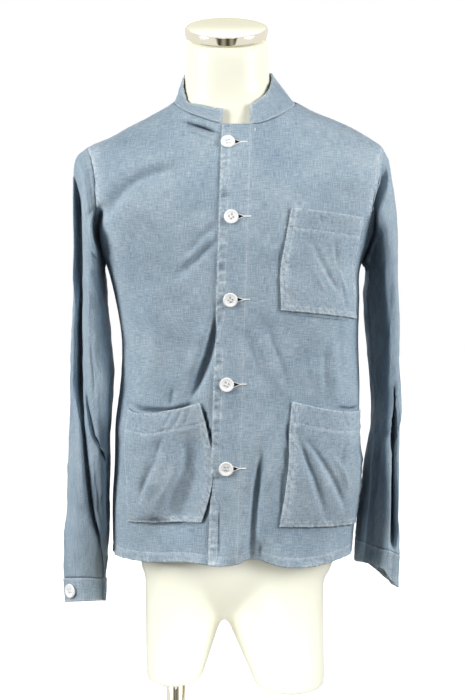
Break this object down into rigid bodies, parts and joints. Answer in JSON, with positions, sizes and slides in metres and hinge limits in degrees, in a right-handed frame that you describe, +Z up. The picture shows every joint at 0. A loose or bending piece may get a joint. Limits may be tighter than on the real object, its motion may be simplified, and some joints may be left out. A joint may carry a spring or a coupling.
{
  "type": "chambray shirt jacket on a dress form",
  "caption": "Blue chambray shirt jacket with a stand collar, buttoned front, patch pockets and hanging empty sleeves, worn by a limbless dress form on a pole and round base.",
  "frame": {"origin": "centre of the stand base's underside", "axes": "+Z up, -Y out of the jacket's front, +X to the wearer's left"},
  "size_m": [0.4676, 0.36, 1.2568],
  "materials": {
    "chambray": "washed plain weave",
    "button": "polished",
    "form": "satin",
    "chrome": "polished",
    "base": "satin"
  },
  "bodies": {
    "root": {"front_left": "chambray", "front_right": "chambray", "back": "chambray", "sleeve_left": "chambray", "sleeve_right": "chambray", "cuff_left": "chambray", "cuff_right": "chambray", "collar": "chambray", "chest_pocket": "chambray", "hip_pocket_left": "chambray", "hip_pocket_right": "chambray", "front_button_1": "button", "front_button_2": "button", "front_button_3": "button", "front_button_4": "button", "front_button_5": "button", "cuff_button_left": "button", "cuff_button_right": "button", "form_torso": "form", "neck_cap": "chrome", "stand_pole": "chrome", "stand_base": "base"}
  },
  "joints": []
}
